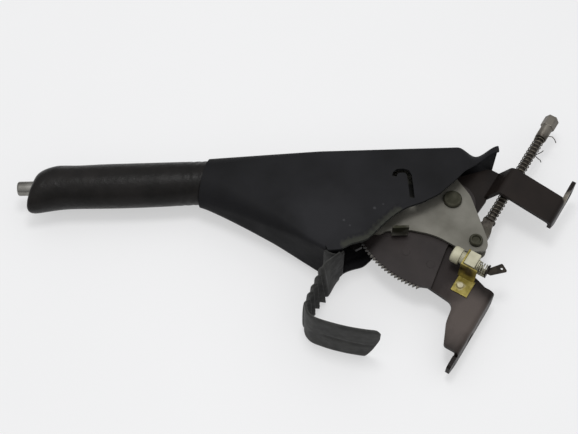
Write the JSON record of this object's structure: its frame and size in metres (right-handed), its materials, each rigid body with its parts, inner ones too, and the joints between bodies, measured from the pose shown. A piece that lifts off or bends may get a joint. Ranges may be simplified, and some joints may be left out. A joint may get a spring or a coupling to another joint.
{
  "type": "parking brake lever",
  "caption": "Hand-pulled parking brake lever with padded grip, trim cover and strap, release button, toothed ratchet and pawl, pull rod with spring and nut, warning switch and floor bracket.",
  "frame": {"origin": "front floor bolt hole, on the face of the front foot that meets the floor", "axes": "+Z along the lever's pivot axis, towards the near side; +Y up off the floor; +X to the rear along the floor"},
  "size_m": [0.2855, 0.3609, 0.045],
  "materials": {
    "bracket_paint": "dark brown satin paint",
    "sector_steel": "dark phosphated steel",
    "zinc_steel": "dull grey zinc plating",
    "pin_zinc": "dark olive passivated zinc",
    "clip_zinc": "yellow passivated zinc",
    "bright_steel": "bright steel",
    "switch_nylon": "ivory moulded nylon",
    "terminal_metal": "tarnished dark metal",
    "tube_steel": "drawn steel",
    "grip_cover": "near black soft grip, worn satin",
    "cover_plastic": "charcoal soft matte moulding",
    "strap_rubber": "dark grey pleated rubber",
    "button_chrome": "worn satin chrome",
    "rod_steel": "oily brown steel",
    "spring_steel": "grey spring wire"
  },
  "bodies": {
    "base": {"base_bracket": "bracket_paint", "bracket_hub": "bracket_paint", "rear_arm": "bracket_paint", "ratchet_sector": "sector_steel", "sector_rivets": "sector_steel", "pivot_pin": "pin_zinc", "pivot_washers": "zinc_steel", "switch_clip": "clip_zinc", "switch_screw": "clip_zinc", "switch_housing": "switch_nylon", "switch_terminal": "terminal_metal"},
    "lever": {"lever_near_plate": "zinc_steel", "lever_far_plate": "zinc_steel", "lever_tube": "tube_steel", "plate_spacer": "zinc_steel", "tube_bush": "switch_nylon", "rod_guides": "switch_nylon", "grip": "grip_cover", "trim_cover": "cover_plastic", "cover_strap": "strap_rubber", "clevis_pin": "pin_zinc", "pawl_pin": "pin_zinc", "pawl_spring": "bright_steel"},
    "release": {"release_button": "button_chrome", "release_rod": "bright_steel", "rod_collar": "bright_steel", "release_spring": "bright_steel"},
    "pawl": {"pawl": "sector_steel"},
    "rod": {"pull_rod": "rod_steel", "rod_washer": "rod_steel", "rod_spring": "spring_steel"},
    "nut": {"adjusting_nut": "rod_steel"},
    "plunger": {"switch_plunger": "switch_nylon", "switch_spring": "bright_steel"}
  },
  "joints": [
    {"name": "lever_pivot", "type": "hinge", "parent": "base", "child": "lever", "pos_m": [0.084, 0.0615, 0.0145], "axis": [0, 0, -1], "range_deg": [-45, 6], "deforming": ["cover_strap"]},
    {"name": "button_press", "type": "slide", "parent": "lever", "child": "release", "axis": [0.5592, -0.829, 0], "range_m": [0, 0.006], "stiffness_N_per_m": 400, "springref_m": -0.01, "deforming": ["release_spring"]},
    {"name": "pawl_lift", "type": "hinge", "parent": "lever", "child": "pawl", "pos_m": [0.02652, 0.12526, 0.0145], "axis": [0, 0, -1], "range_deg": [0, 9.4]},
    {"name": "rod_swing", "type": "hinge", "parent": "lever", "child": "rod", "pos_m": [0.06212, 0.03046, 0.0145], "axis": [0, 0, -1], "range_deg": [-6, 45]},
    {"name": "nut_turn", "type": "hinge", "parent": "rod", "child": "nut", "pos_m": [0.18412, 0.03046, 0.0145], "axis": [1, 0, 0], "continuous": true},
    {"name": "switch_plunge", "type": "slide", "parent": "base", "child": "plunger", "axis": [0, -1, 0], "range_m": [0, 0.003], "stiffness_N_per_m": 300, "springref_m": -0.006, "deforming": ["switch_spring"]}
  ],
  "couplings": [
    {"joint": "pawl_lift", "follows": "button_press", "rad_per_m": 27.027},
    {"joint": "rod_swing", "follows": "lever_pivot", "ratio": -1}
  ]
}
